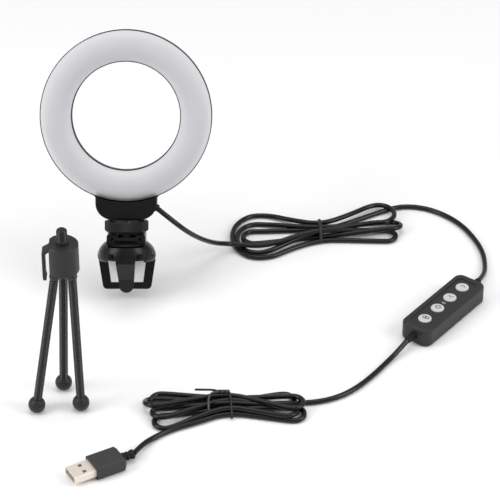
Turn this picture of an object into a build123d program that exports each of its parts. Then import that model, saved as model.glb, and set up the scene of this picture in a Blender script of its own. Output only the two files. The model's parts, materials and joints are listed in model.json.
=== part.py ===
"""USB ring light on a lid clamp, with its lead, in-line controller and mini tripod.

Millimetres, +Z up. The origin is the lid seat: the middle of the clamp's jaw mouth, where the
edge of a screen bears. The light leans back about the X axis through the origin, as it does on
an open lid, and faces -Y. The lead and the tripod lie and stand on a table below.
"""
from build123d import *
from math import cos, radians, sin, tan
import os

# ---- the light as a whole
lean = 28.0                    # how far the light leans back on an open lid, degrees
table_drop = 29.5              # height of the lid seat over the table
gap = 0.3                      # clearance between pieces that move past each other
running = 0.05                 # radial clearance of a shaft that turns in its hole

# ---- ring
ring_outer_r = 52.5
ring_hole_r = 33.0
neck_drop = 10.5               # how far the neck reaches below the ring's rim
housing_back_y = 6.5
housing_front_y = -1.0
housing_wall = 1.6
diffuser_bulge = 6.0
diffuser_wall = 1.5
diffuser_inset = 0.5           # the diffuser's rim stands this far inside the housing's
seat_fit = 0.06                # clearance of the diffuser and the board in their channel
board_thickness = 1.2
board_front_y = 1.0
board_ledge = 1.2
led_count = 40
led_width = 2.8
led_length = 3.5
led_height = 0.8
reflector_thickness = 0.4
vent_count = 10

# ---- neck under the ring
neck_width = 37.4
neck_bottom = 23.0
neck_front_y = -6.5
neck_corner_r = 10.0
neck_root_r = 3.0
neck_wall = 2.0
washer_r = 9.4
washer_thickness = 0.7

# ---- quarter-inch stud, lock wheel and shoe foot
stud_r = 3.175
stud_length = 19.0
insert_r = 4.6
insert_length = 8.5
wheel_r = 13.4
wheel_height = 7.7
wheel_bottom = 14.2
wheel_chamfer = 2.2
wheel_dish = 1.4
wheel_rib_count = 84
wheel_rib_depth = 0.35
foot_width = 18.0
foot_length = 15.0
foot_thickness = 2.0
foot_bottom = 10.2
foot_stem_r = 5.5

# ---- clamp
shoe_width = 23.6
shoe_length = 19.4
shoe_bottom = 8.6
shoe_fit = 0.2                 # clearance round the foot in its channel
shoe_edge_r = 0.8
stop_r = 0.9                   # two low pegs that stop the foot at the front
stop_height = 1.0
dome_r = 17.9
dome_top = 10.7
dome_flat_r = 7.5
dome_bottom = -2.4
dome_wall = 2.0
dome_roof = 6.6                # underside of the dome's thick roof
lid_thickness = 6.4            # the jaws' mouth as it rests on a screen's edge
hinge_y = -5.5
hinge_z = 2.0
hinge_r = 1.25
visor_r = 16.3
visor_wall = 1.8
visor_width = 23.4
visor_top = 7.2
visor_bottom = -0.7
rear_jaw_top_width = 35.0
rear_jaw_bottom_width = 29.2
rear_jaw_bottom = -20.8
rear_jaw_thickness = 3.0
rear_jaw_corner_r = 2.6
rear_pad_top_width = 23.2
rear_pad_bottom_width = 19.6
rear_pad_top = -3.1
rear_pad_bottom = -16.5
pad_recess = 0.8
pad_proud = 0.5
tongue_top_width = 12.2
tongue_tip_r = 4.4
tongue_tip = -21.8
front_pad_width = 7.0
front_pad_height = 9.0
front_pad_thickness = 0.8

# ---- lead
cord_d = 3.2
gland_r = 2.3
gland_length = 3.2
exit_height = 31.2             # where the lead leaves the neck, over the lid seat
hank_height = 9.0
hank_1_tie = (121.0, 63.7)
hank_1_waist = 16.4
hank_1_lobes = [(84.0, 61.0, 21.4, 25.2), (151.0, 75.3, 22.4, 21.0)]    # centre, then half length and width
hank_2_tie = (64.0, -111.8)
hank_2_waist = 17.4
hank_2_lobes = [(29.0, -116.9, 17.0, 17.6), (93.0, -113.4, 15.8, 14.2)]
tie_width = 2.4
tie_wall = 0.6

# ---- in-line controller
ctl_length = 64.0
ctl_width = 21.0
ctl_height = 12.0
ctl_split = 6.4
ctl_corner_r = 5.0
ctl_wall = 1.6
ctl_edge_r = 1.6
ctl_roof = 2.4                 # thickness over the hollow, under the buttons' panel
ctl_x = 193.5
ctl_y = -24.0
ctl_turn = 52.5                # long axis, degrees from +X
panel_length = 55.0
panel_width = 13.6
panel_thickness = 0.8
panel_recess = 0.5
button_r = 4.1
button_pitch = 13.5
button_height = 3.5
button_flange = 0.9
button_flange_height = 0.8
button_proud = 0.5
button_travel = 0.4
indicator_length = 2.8
indicator_width = 1.6
relief_length = 7.0
relief_r = 2.7

# ---- USB plug
plug_x = 2.4                   # back of the plug's moulding
plug_y = -162.9
plug_turn = 209.5              # where the plug points, degrees from +X
mould_length = 18.6
mould_width = 15.6
mould_height = 8.4
mould_corner_r = 2.2
shell_length = 13.8
shell_width = 12.0
shell_height = 4.5
shell_wall = 0.35
shell_root = 3.0
tongue_fit = 0.15
plug_relief_length = 8.2
plug_relief_r = 2.9

# ---- mini tripod
tripod_x = -30.0
tripod_y = -107.0
tripod_height = 114.0          # top face over the table
tripod_r = 9.2
tripod_head_height = 16.0
tripod_flat = 7.4              # distance of the flat from the head's axis
tripod_base_height = 4.0
screw_collar_r = 3.6
screw_collar_height = 2.6
screw_length = 6.4
thread_pitch = 1.27
clip_width = 7.0
clip_thickness = 1.6
clip_gap = 2.6
clip_drop = 21.0
leg_d = 5.2
leg_ball_r = 3.1
leg_root_r = 5.6
leg_ball_drop = 1.4            # ball centre below the base's underside
socket_fit = 0.15
foot_ball_r = 5.0
foot_places = [(-48.6, -115.2), (-23.0, -113.4), (-34.2, -94.0)]
leg_bearings = [208.0, -28.0, 95.0]

# ---- what follows from the sizes above
table_z = -table_drop
ring_height = neck_bottom + neck_drop + ring_outer_r    # ring centre over the lid seat, along the light
ring_mid_r = (ring_outer_r + ring_hole_r) / 2
channel_outer_r = ring_outer_r - housing_wall
channel_inner_r = ring_hole_r + housing_wall
board_back_y = board_front_y + board_thickness
back_wall_y = housing_back_y - housing_wall
washer_bottom = neck_bottom - washer_thickness
shoe_top = wheel_bottom - gap
jaw_half = lid_thickness / 2
mould_z = table_z + mould_height / 2
ctl_cable_z = table_z + ctl_height / 2
panel_top_z = ctl_height - panel_recess

LEAN = Rot(-lean, 0, 0)
RING = Pos(0, 0, ring_height) * Rot(90, 0, 0)        # local +Z points to the front, -Y
CONTROLLER = Pos(ctl_x, ctl_y, table_z) * Rot(0, 0, ctl_turn)
PLUG = Pos(plug_x, plug_y, mould_z) * Rot(0, 0, plug_turn)
TRIPOD = Pos(tripod_x, tripod_y, table_z + tripod_height)

# ---- routes of the lead, in x, y and height over the table
LEAD_1 = [(19.0, 13.7, 55.3), (29.8, 9.7, 47.4), (38.0, 15.6, 36.0), (45.5, 26.0, 24.0),
          (53.5, 39.0, 12.0), (61.5, 47.2, 5.8), (70.0, 47.0, 5.2)]
LEAD_2 = [(162.0, 90.4, 1.7), (174.0, 95.8, 1.7), (188.0, 94.0, 1.7), (200.0, 86.8, 1.7),
          (210.5, 75.5, 1.7), (218.0, 60.5, 1.7), (222.8, 44.5, 1.7), (223.2, 29.0, 1.8),
          (221.4, 16.6, 3.4), (217.2, 7.0, 6.0)]
LEAD_3 = [(169.8, -55.0, 6.0), (164.0, -62.0, 3.2), (156.6, -71.5, 1.7), (147.6, -84.5, 1.7),
          (137.0, -97.0, 1.7), (126.0, -105.0, 1.7), (114.0, -109.0, 1.7), (102.0, -110.0, 1.7)]
LEAD_4 = [(44.0, -128.4, 1.9), (31.5, -133.6, 1.7), (20.5, -141.4, 1.7), (13.4, -150.2, 2.9),
          (9.55, -158.95, 4.2)]


def write(shape, name):
    export_step(shape, "parts/" + name + ".step")


def group(pieces):
    return Compound(children=list(pieces))


def box(low, high):
    """A block between two corners."""
    size = [b - a for a, b in zip(low, high)]
    return Pos(*low) * Box(*size, align=(Align.MIN, Align.MIN, Align.MIN))


def cylinder(r, bottom, top):
    """An upright cylinder between two heights."""
    return Pos(0, 0, bottom) * Cylinder(r, top - bottom, align=(Align.CENTER, Align.CENTER, Align.MIN))


def ring_band(r_out, r_in, front_y, back_y):
    """An annulus on the ring's axis, between two depths."""
    outer = cylinder(r_out, -back_y, -front_y)
    inner = cylinder(r_in, -back_y - 1, -front_y + 1)
    return RING * (outer - inner)


# ---- ring and neck

def neck_outline(top):
    """Front outline of the neck, up to a height, with its big round lower corners."""
    height = top - neck_bottom
    blank = Pos(0, neck_bottom + height / 2) * Rectangle(neck_width, height)
    low = blank.vertices().group_by(Axis.Y)[0]
    return fillet(low, neck_corner_r)


def body_outline():
    """Ring disc and neck in one outline, with a fillet where the two meet."""
    disc = Pos(0, ring_height) * Circle(ring_outer_r)
    both = disc + neck_outline(ring_height - ring_outer_r / 2)
    corners = [v for v in both.vertices() if v.Y > neck_bottom + neck_corner_r + 1]
    corners = [v for v in corners if abs(abs(v.X) - neck_width / 2) < 0.01]
    return fillet(corners, neck_root_r)


def slab(outline, front_y, back_y):
    """An outline drawn in X and height, made solid between two depths."""
    upright = Plane.XZ.offset(-back_y) * outline
    return extrude(upright, amount=back_y - front_y, dir=(0, -1, 0))


def insert_bore():
    return cylinder(insert_r, neck_bottom - 1, neck_bottom + insert_length)


def neck_hollow():
    """Space for the wires inside the neck, round the boss of the brass insert."""
    half = neck_width / 2 - neck_wall
    top = ring_height - channel_outer_r + 3
    space = box((-half, neck_front_y + neck_wall, neck_bottom + neck_wall + 1),
                (half, back_wall_y, top))
    boss = cylinder(insert_r + neck_wall, neck_bottom, neck_bottom + insert_length)
    corner_keep = slab(neck_outline(top + 1), neck_front_y, housing_back_y)
    return (space & corner_keep) - boss


def gland_shape(r, start, length):
    """A plug of material along the line on which the lead leaves the neck."""
    line = Plane(origin=(neck_width / 2 - 2.2, 0, exit_height), x_dir=(0, 1, 0), z_dir=(0.78, 0, -0.626))
    return line * cylinder(r, start, start + length)


def rear_housing():
    body = slab(body_outline(), housing_front_y, housing_back_y)
    body -= RING * cylinder(ring_hole_r, -housing_back_y - 1, -housing_front_y + 1)
    body -= ring_band(channel_outer_r, channel_inner_r, housing_front_y - 1, board_back_y)
    body -= ring_band(channel_outer_r - board_ledge, channel_inner_r + board_ledge,
                      board_back_y - 1, back_wall_y)
    body -= neck_hollow()
    body -= insert_bore()
    body -= gland_shape(gland_r, -3, 12)
    slot = Pos(0, 0, 0) * box((-0.8, back_wall_y - 1, -3.5), (0.8, housing_back_y + 1, 3.5))
    for i in range(vent_count):
        turn = 360.0 / vent_count * i
        body -= Pos(0, 0, ring_height) * Rot(0, turn, 0) * Pos(0, 0, ring_mid_r) * slot
    for x, z in housing_screw_places():
        body -= Pos(x, 0, z) * Rot(-90, 0, 0) * cylinder(1.9, housing_back_y - 1.2, housing_back_y + 1)
        body -= Pos(x, 0, z) * Rot(-90, 0, 0) * cylinder(1.0, housing_front_y - 1, housing_back_y)
    return body


def neck_cover():
    """Front half of the neck; its top follows the ring."""
    cover = slab(neck_outline(ring_height - ring_outer_r / 2), neck_front_y, housing_front_y)
    cover -= RING * cylinder(ring_outer_r, -housing_back_y, -neck_front_y + 1)
    cover = fillet(cover.edges().group_by(Axis.Y)[0].sort_by(Axis.Z)[:3], 1.0)
    cover -= neck_hollow()
    cover -= insert_bore()
    cover -= gland_shape(gland_r, -3, 12)
    for x, z in housing_screw_places():
        cover -= Pos(x, 0, z) * Rot(-90, 0, 0) * cylinder(1.0, neck_front_y + 1.4, housing_front_y + 1)
    return cover


def housing_screw_places():
    x = insert_r + neck_wall + 3.4
    return [(-x, neck_bottom + 3.6), (x, neck_bottom + 3.6)]


def housing_screws():
    """Two self-tapping screws that hold the neck cover, from behind."""
    screws = []
    for x, z in housing_screw_places():
        head = cylinder(1.9, housing_back_y - 1.2, housing_back_y - 0.2)
        shank = cylinder(1.0, neck_front_y + 1.4, housing_back_y - 1.2)
        cross = box((-1.2, -0.25, housing_back_y - 0.7), (1.2, 0.25, housing_back_y))
        screw = head + shank - cross - Rot(0, 0, 90) * cross
        screws.append(Pos(x, 0, z) * Rot(-90, 0, 0) * screw)
    return group(screws)


def diffuser():
    """Milky cover: a bulged band with a rim that drops into the housing."""
    out_r = ring_outer_r - diffuser_inset
    in_r = ring_hole_r + diffuser_inset
    face = -housing_front_y
    rise = face + diffuser_bulge
    with BuildPart() as part:
        with BuildSketch(Plane.XZ):
            with BuildLine():
                start = (in_r, face)
                end = (out_r, face)
                ThreePointArc(start, (ring_mid_r, rise), end)
                Line(end, (out_r - diffuser_wall, face))
                ThreePointArc((out_r - diffuser_wall, face), (ring_mid_r, rise - diffuser_wall),
                              (in_r + diffuser_wall, face))
                Line((in_r + diffuser_wall, face), start)
            make_face()
        revolve(axis=Axis.Z)
    lip_out_r = channel_outer_r - seat_fit
    lip_in_r = channel_inner_r + seat_fit
    lip_outer = ring_band(lip_out_r, lip_out_r - 1.0, housing_front_y, board_front_y)
    lip_inner = ring_band(lip_in_r + 1.0, lip_in_r, housing_front_y, board_front_y)
    return RING * part.part + lip_outer + lip_inner


def led_board():
    return ring_band(channel_outer_r - seat_fit, channel_inner_r + seat_fit, board_front_y, board_back_y)


def led_places():
    for i in range(led_count):
        turn = 360.0 / led_count * (i + 0.5)
        yield Pos(0, 0, ring_height) * Rot(0, turn, 0) * Pos(0, 0, ring_mid_r)


def led_chips():
    chip = box((-led_length / 2, board_front_y - led_height, -led_width / 2),
               (led_length / 2, board_front_y, led_width / 2))
    return group([place * chip for place in led_places()])


def reflector_ring():
    """White sheet on the board, with a window for each LED."""
    sheet = ring_band(channel_outer_r - 1.2, channel_inner_r + 1.2,
                      board_front_y - reflector_thickness, board_front_y)
    window = box((-led_length / 2 - 0.3, board_front_y - 1, -led_width / 2 - 0.3),
                 (led_length / 2 + 0.3, board_front_y + 1, led_width / 2 + 0.3))
    return sheet - [place * window for place in led_places()]


def neck_gland():
    """Soft grommet where the lead leaves the neck."""
    return gland_shape(gland_r, 0.2, gland_length - 0.2)


def threaded_insert():
    brass = cylinder(insert_r, neck_bottom, neck_bottom + insert_length)
    return brass - cylinder(stud_r + running, neck_bottom - 1, neck_bottom + insert_length - 1)


def neck_washer():
    ring = cylinder(washer_r, washer_bottom, neck_bottom)
    return ring - cylinder(stud_r + gap + 0.5, washer_bottom - 1, neck_bottom + 1)


# ---- stud, wheel and shoe foot

def mount_stud():
    rod = cylinder(stud_r, foot_bottom + foot_thickness / 2, foot_bottom + foot_thickness / 2 + stud_length)
    return chamfer(rod.edges().sort_by(Axis.Z)[-1:], 0.6)


def lock_wheel():
    """Knurled lock wheel, dished on top and chamfered below."""
    points = []
    for i in range(2 * wheel_rib_count):
        r = wheel_r if i % 2 else wheel_r - wheel_rib_depth
        turn = radians(180.0 * i / wheel_rib_count)
        points.append((r * cos(turn), r * sin(turn)))
    wheel = Pos(0, 0, wheel_bottom) * extrude(make_face(Polyline(*points, close=True)), wheel_height)
    rim = chamfer(cylinder(wheel_r, wheel_bottom, wheel_bottom + wheel_height).edges().sort_by(Axis.Z)[:1],
                  wheel_chamfer)
    rim = chamfer(rim.edges().sort_by(Axis.Z)[-1:], 0.4)
    wheel = wheel & rim
    wheel -= cylinder(wheel_r - 2.2, wheel_bottom + wheel_height - wheel_dish, wheel_bottom + wheel_height + 1)
    return wheel - cylinder(stud_r + running, wheel_bottom - 1, wheel_bottom + wheel_height + 1)


def shoe_foot():
    half = foot_width / 2
    plate = box((-half, -foot_length / 2, foot_bottom), (half, foot_length / 2, foot_bottom + foot_thickness))
    plate = chamfer(plate.edges().filter_by(Axis.Z), 1.0)
    stem = cylinder(foot_stem_r, foot_bottom + foot_thickness, wheel_bottom - gap)
    return plate + stem - cylinder(stud_r, foot_bottom + foot_thickness / 2, wheel_bottom + 1)


# ---- clamp

def shoe_screw_places():
    return [Pos(x, y, 0) for x in (-5.0, 5.0) for y in (-5.5, 5.5)]


def cold_shoe():
    """Two rails that take the foot, open behind; low pegs at the front stop it."""
    half = shoe_width / 2
    long_half = shoe_length / 2
    block = box((-half, -long_half, shoe_bottom), (half, long_half, shoe_top))
    block = fillet(block.edges().filter_by(Axis.Y).group_by(Axis.Z)[-1], shoe_edge_r)
    channel_half = foot_width / 2 + shoe_fit
    floor = foot_bottom - shoe_fit
    block -= box((-channel_half, -long_half - 1, floor),
                 (channel_half, long_half + 1, foot_bottom + foot_thickness + shoe_fit))
    throat = foot_stem_r + gap
    block -= box((-throat, -long_half - 1, foot_bottom), (throat, long_half + 1, shoe_top + 1))
    for x in (stop_r - foot_width / 2, foot_width / 2 - stop_r):
        peg = cylinder(stop_r, floor, floor + stop_height)
        block += Pos(x, -foot_length / 2 - shoe_fit - stop_r, 0) * peg
    for place in shoe_screw_places():
        block -= place * cylinder(1.6, foot_bottom - shoe_fit - 0.8, foot_bottom)
        block -= place * cylinder(0.9, shoe_bottom - 1, foot_bottom)
    return block


def shoe_screws():
    top = foot_bottom - shoe_fit
    screw = cylinder(1.6, top - 0.8, top - 0.1) + cylinder(0.9, shoe_bottom - 1.6, top - 0.8)
    screw -= box((-1.0, -0.2, top - 0.4), (1.0, 0.2, top))
    return group([place * screw for place in shoe_screw_places()])


def dome_profile():
    """Half section of the dome: flat top, round shoulder, tucked-in lower lip."""
    shoulder = ThreePointArc((dome_flat_r, dome_top), (dome_r - 2.9, dome_top - 3.5), (dome_r, 0.2))
    outline = Polyline((dome_r, 0.2), (dome_r, dome_bottom + 1.5), (dome_r - 1.1, dome_bottom),
                       (0, dome_bottom), (0, dome_top), (dome_flat_r, dome_top))
    return make_face([shoulder, *outline.edges()])


def dome_hollow():
    inner_r = dome_r - dome_wall
    tall = cylinder(inner_r - 2.6, dome_bottom - 1, dome_roof)
    low = cylinder(inner_r, dome_bottom - 1, dome_roof - 3.4)
    return tall + low


def clamp_body():
    dome = revolve(Plane.XZ * dome_profile(), axis=Axis.Z)
    dome -= dome_hollow()
    half = shoe_width / 2
    dome -= box((-half, -shoe_length / 2, shoe_bottom), (half, shoe_length / 2, dome_top + 1))
    run_out = foot_width / 2 + shoe_fit
    dome -= box((-run_out, 0, foot_bottom - shoe_fit), (run_out, dome_r, dome_top + 1))
    visor_half = visor_width / 2 + gap
    clear = box((-visor_half, -30, dome_bottom - 1), (visor_half, hinge_y, shoe_bottom + 2))
    dome -= clear - Pos(0, hinge_y, hinge_z) * Sphere(visor_r - visor_wall - gap)
    window = visor_half - 1.2
    dome -= box((-window, -30, dome_bottom - 1), (window, hinge_y - 2.4, visor_top + 0.4))
    slot = jaw_half
    dome -= box((-30, -slot, dome_bottom - 1), (30, slot, 0))
    dome -= along_x(hinge_r, dome_r - 1.5)
    for place in shoe_screw_places():
        dome -= place * cylinder(0.9, shoe_bottom - 1.6, shoe_bottom + 1)
    return dome


def along_x(r, half):
    """A cylinder on the jaw hinge's axis."""
    return Pos(-half, hinge_y, hinge_z) * Rot(0, 90, 0) * cylinder(r, 0, 2 * half)


def trapezoid(top_width, bottom_width, top, bottom, corner_r):
    a = top_width / 2
    b = bottom_width / 2
    face = make_face(Polyline((-a, top), (a, top), (b, bottom), (-b, bottom), close=True))
    if corner_r:
        face = fillet(face.vertices().group_by(Axis.Y)[0], corner_r)
    return face


def rear_jaw_frame():
    """Fixed jaw behind the screen, with a tang up into the dome."""
    front = jaw_half + pad_proud
    plate = slab(trapezoid(rear_jaw_top_width, rear_jaw_bottom_width, dome_bottom, rear_jaw_bottom,
                           rear_jaw_corner_r), front, front + rear_jaw_thickness)
    plate = chamfer(plate.edges().group_by(Axis.Y)[-1], 0.5)
    tang = box((-9, front, dome_bottom - 1), (9, front + rear_jaw_thickness, dome_roof))
    return plate + tang - rear_pad_blank(front - 1, front + pad_recess)


def rear_pad_blank(front_y, back_y):
    return slab(trapezoid(rear_pad_top_width, rear_pad_bottom_width, rear_pad_top, rear_pad_bottom, 0),
                front_y, back_y)


def rear_jaw_pad():
    return rear_pad_blank(jaw_half, jaw_half + pad_proud + pad_recess)


def clamp_hinge_pin():
    return along_x(hinge_r, dome_r - 1.5)


def clamp_spring():
    """Torsion spring round the pin: close turns and two straight legs."""
    wire = 0.45
    turn_r = hinge_r + wire + 0.35
    turns = [Pos(-2.2 + 1.1 * i, hinge_y, hinge_z) * Rot(0, 90, 0) * Torus(turn_r, wire) for i in range(5)]
    back_leg = Pos(3.3, hinge_y, hinge_z + turn_r) * Rot(-90, 0, 0) * cylinder(wire, 0, 7)
    front_leg = Pos(-3.3, hinge_y, hinge_z - turn_r) * Rot(115, 0, 0) * cylinder(wire, 0, 6)
    return group(turns + [back_leg, front_leg])


def tongue_outline():
    """Front outline of the tongue: it narrows to a round tip."""
    half = tongue_top_width / 2
    tip_z = tongue_tip + tongue_tip_r
    side = Polyline((-tongue_tip_r, tip_z), (-half, visor_bottom + 1.5), (half, visor_bottom + 1.5),
                    (tongue_tip_r, tip_z))
    tip = ThreePointArc((tongue_tip_r, tip_z), (0, tongue_tip), (-tongue_tip_r, tip_z))
    return make_face([*side.edges(), tip])


def tongue_side():
    """Side outline of the tongue, from the visor's lip in to the screen's face."""
    inner = -jaw_half - front_pad_thickness
    outer_y = hinge_y - visor_r + 1.2
    line = Polyline((outer_y, visor_bottom + 1.5), (outer_y + 0.6, visor_bottom - 2.0),
                    (inner - 5.6, -13.5), (inner - 2.6, tongue_tip), (inner, tongue_tip),
                    (inner, -12.0), (inner - 3.2, -10.5), (outer_y + 4.6, visor_bottom - 0.5),
                    (outer_y + 3.6, visor_bottom + 1.5), close=True)
    return make_face(line)


def front_jaw():
    """Sprung jaw: round visor, two arms to the pin, and the tongue that grips the screen."""
    centre = Pos(0, hinge_y, hinge_z)
    half = visor_width / 2
    visor = centre * (Sphere(visor_r) - Sphere(visor_r - visor_wall))
    visor = visor & box((-half, -40, visor_bottom), (half, hinge_y - 6, visor_top))
    tongue = extrude(Plane.XZ * tongue_outline(), amount=40)
    side = extrude(Plane.YZ.offset(-20) * tongue_side(), amount=40)
    jaw = visor + (tongue & side)
    reach = visor_r - visor_wall / 2
    for x in (-10.4, 8.2):
        arm = box((0, -1.5, 0), (2.2, 1.5, reach))
        hub = Rot(0, 90, 0) * cylinder(hinge_r + 1.7, 0, 2.2)
        arm = Rot(90, 0, 0) * arm + hub
        arm -= Rot(0, 90, 0) * cylinder(hinge_r + running, -1, 4)
        jaw += Pos(x, hinge_y, hinge_z) * arm
    return jaw


def front_jaw_pad():
    half = front_pad_width / 2
    back = -jaw_half - front_pad_thickness
    return box((-half, back, tongue_tip + 1.4), (half, -jaw_half, tongue_tip + 1.4 + front_pad_height - 1))


# ---- lead

def cord_tube(points):
    """A round tube along straight runs joined by arcs as large as the runs allow."""
    route = [Vector(x, y, h + table_z) for x, y, h in points]
    runs = [b - a for a, b in zip(route, route[1:])]
    radii = []
    for before, after in zip(runs, runs[1:]):
        half_turn = radians(before.get_angle(after)) / 2
        radii.append(0.45 * min(before.length, after.length) / tan(half_turn))
    path = FilletPolyline(*route, radius=radii)
    section = Plane(origin=path @ 0, z_dir=path % 0) * Circle(cord_d / 2)
    tube = sweep(section, path=path)
    ideal = 3.14159 * (cord_d / 2) ** 2 * path.length
    print("lead: length %.1f, volume ratio %.4f, radii" % (path.length, tube.volume / ideal),
          [round(r, 1) for r in radii])
    return tube


def hank(tie, waist, lobes):
    """Bow of looped lead: two round lobes that taper into the middle, which the tie holds."""
    middle = Pos(*tie) * Rectangle(2 * tie_width, waist)
    bow = middle
    for x, y, half_length, half_width in lobes:
        lobe = Pos(x, y) * Ellipse(half_length, half_width)
        near_side = middle.edges().sort_by(lambda edge: abs(edge.center().X - x))[0]
        bow += make_hull([*lobe.edges(), near_side])
    return Pos(0, 0, table_z) * extrude(bow, hank_height)


def tie_band(place, width):
    """Wire tie over a hank: a bent strap down both sides and across the top."""
    x, y = place
    outer = box((x - tie_width / 2, y - width / 2 - tie_wall, table_z),
                (x + tie_width / 2, y + width / 2 + tie_wall, table_z + hank_height + tie_wall))
    inner = box((x - tie_width, y - width / 2, table_z - 1),
                (x + tie_width, y + width / 2, table_z + hank_height))
    return outer - inner


# ---- in-line controller

def rounded_bar(length, width, bottom, top, corner_r):
    face = RectangleRounded(length, width, corner_r)
    return Pos(0, 0, bottom) * extrude(face, top - bottom)


def button_places():
    return [(i - 1.5) * button_pitch for i in range(4)]


def controller_screw_places():
    x = ctl_length / 2 - 4.4
    return [Pos(sign * x, side * (ctl_width / 2 - 4.4), 0) for sign in (-1, 1) for side in (-1, 1)]


def controller_hollow(bottom, top):
    hollow = rounded_bar(ctl_length - 2 * ctl_wall, ctl_width - 2 * ctl_wall, bottom, top,
                         ctl_corner_r - ctl_wall)
    return hollow - [place * cylinder(2.2, bottom - 1, top + 1) for place in controller_screw_places()]


def cable_bore(r):
    line = Rot(0, 90, 0) * cylinder(r, -ctl_length, ctl_length)
    return Pos(0, 0, ctl_height / 2) * line


def relief_seat():
    """Space for the collars of the strain reliefs, in the two end walls."""
    return cable_bore(relief_r) - box((-ctl_length / 2 + ctl_wall, -9, 0), (ctl_length / 2 - ctl_wall, 9, 20))


def controller_bottom():
    shell = rounded_bar(ctl_length, ctl_width, 0, ctl_split, ctl_corner_r)
    shell = fillet(shell.edges().group_by(Axis.Z)[0], ctl_edge_r)
    shell -= controller_hollow(ctl_wall, ctl_split + 1)
    shell -= relief_seat()
    for place in controller_screw_places():
        shell -= place * cylinder(1.7, -1, 1.2)
        shell -= place * cylinder(0.9, 0, ctl_split + 1)
    return shell


def controller_top():
    shell = rounded_bar(ctl_length, ctl_width, ctl_split, ctl_height, ctl_corner_r)
    shell = fillet(shell.edges().group_by(Axis.Z)[-1], ctl_edge_r)
    shell -= controller_hollow(ctl_split - 1, ctl_height - ctl_roof)
    shell -= relief_seat()
    shell -= rounded_bar(panel_length, panel_width, ctl_height - panel_recess - panel_thickness,
                         ctl_height + 1, 2.6)
    for x in button_places():
        shell -= Pos(x, 0, 0) * cylinder(button_r + gap, ctl_split, ctl_height + 1)
    for place in controller_screw_places():
        shell -= place * cylinder(0.9, ctl_split - 1, ctl_height - ctl_roof)
    return shell - indicator_blank(ctl_split, ctl_height)


def indicator_blank(bottom, top):
    bar = rounded_bar(indicator_length, indicator_width, bottom, top, indicator_width / 2 - 0.01)
    return Pos(0, 0, 0) * Rot(0, 0, 90) * bar


def button_panel():
    """Recessed strip round the buttons."""
    strip = rounded_bar(panel_length, panel_width, panel_top_z - panel_thickness, panel_top_z, 2.6)
    for x in button_places():
        strip -= Pos(x, 0, 0) * cylinder(button_r + gap, 0, ctl_height + 1)
    return strip - indicator_blank(0, ctl_height)


def button():
    """Round cap with a flange that keeps it in."""
    top = panel_top_z + button_proud
    cap = cylinder(button_r, top - button_height, top)
    cap = fillet(cap.edges().sort_by(Axis.Z)[-1:], 0.4)
    return cap + cylinder(button_r + button_flange, top - button_height, top - button_height + button_flange_height)


def indicator_lens():
    return indicator_blank(panel_top_z - panel_thickness - 1.2, panel_top_z + 0.1)


def controller_board():
    board = rounded_bar(ctl_length - 12, ctl_width - 2 * ctl_wall - 0.6, board_z() - 1.2, board_z(), 1.0)
    return board - [place * cylinder(2.4, 0, 20) for place in controller_screw_places()]


def board_z():
    """Top of the controller's board: it stands on the posts' shoulders."""
    return ctl_split - 0.4


def switch_domes():
    """Four tactile switches on the board, one under each button."""
    top = panel_top_z + button_proud - button_height - button_travel - 0.15
    body = box((-2.6, -2.6, board_z()), (2.6, 2.6, top - 0.5))
    switch = body + cylinder(1.5, top - 0.5, top)
    return group([Pos(x, 0, 0) * switch for x in button_places()])


def controller_screws():
    screw = cylinder(1.7, 0.3, 1.2) + cylinder(0.9, 1.2, ctl_split + 2.4)
    screw -= box((-1.2, -0.25, -1), (1.2, 0.25, 0.7)) + box((-0.25, -1.2, -1), (0.25, 1.2, 0.7))
    return group([place * screw for place in controller_screw_places()])


def strain_relief(side):
    """Ribbed taper where the lead enters the controller."""
    start = ctl_length / 2 - ctl_wall
    seat = cylinder(relief_r, start, ctl_length / 2)
    cone = Pos(0, 0, ctl_length / 2 + relief_length / 2) * Cone(relief_r - 0.2, cord_d / 2 + 0.3, relief_length)
    sleeve = seat + cone
    for i in range(3):
        z = ctl_length / 2 + 1.5 + 1.8 * i
        sleeve -= cylinder(4, z, z + 0.6) - cylinder(cord_d / 2 + 0.25, z - 1, z + 2)
    return Pos(0, 0, ctl_height / 2) * Rot(0, 90 * side, 0) * sleeve


# ---- plug

def lying_bar(length, width, height, corner_r):
    """A bar with its length on +X from the plug's back, and rounded long edges."""
    face = RectangleRounded(width, height, corner_r)
    return Rot(0, 90, 0) * Rot(0, 0, 90) * extrude(face, length)


def plug_overmold():
    mould = lying_bar(mould_length, mould_width, mould_height, mould_corner_r)
    mould = chamfer(mould.faces().sort_by(Axis.X)[0].edges(), 1.4)
    mould -= Pos(mould_length - shell_root, 0, 0) * lying_bar(shell_root + 1, shell_width, shell_height, 0.6)
    return mould


def plug_shell():
    length = shell_length + shell_root
    shell = lying_bar(length, shell_width, shell_height, 0.6)
    shell -= lying_bar(length + 1, shell_width - 2 * shell_wall, shell_height - 2 * shell_wall, 0.4)
    hole = box((shell_root + 5.0, -1.1, -4), (shell_root + 7.2, 1.1, 4))
    shell -= [Pos(0, y, 0) * hole for y in (-2.9, 2.9)]
    return Pos(mould_length - shell_root, 0, 0) * shell


def plug_tongue():
    """White insulator in the lower half of the shell, as the port sees it."""
    half = shell_width / 2 - shell_wall - tongue_fit
    rise = shell_height / 2 - shell_wall - tongue_fit
    root = box((0, -half, -rise), (shell_root, half, rise))
    bar = box((0, -half, 0.0), (shell_root + shell_length - 1.0, half, rise))
    return Pos(mould_length - shell_root, 0, 0) * (root + bar)


def plug_contacts():
    """Four spring contacts on the insulator's face."""
    strips = []
    for y in (-3.5, -1.0, 1.0, 3.5):
        reach = 6.4 if abs(y) < 2 else 7.4
        strips.append(box((shell_root, y - 0.5, -0.25), (shell_root + reach, y + 0.5, 0.0)))
    return group([Pos(mould_length - shell_root, 0, 0) * strip for strip in strips])


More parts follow.
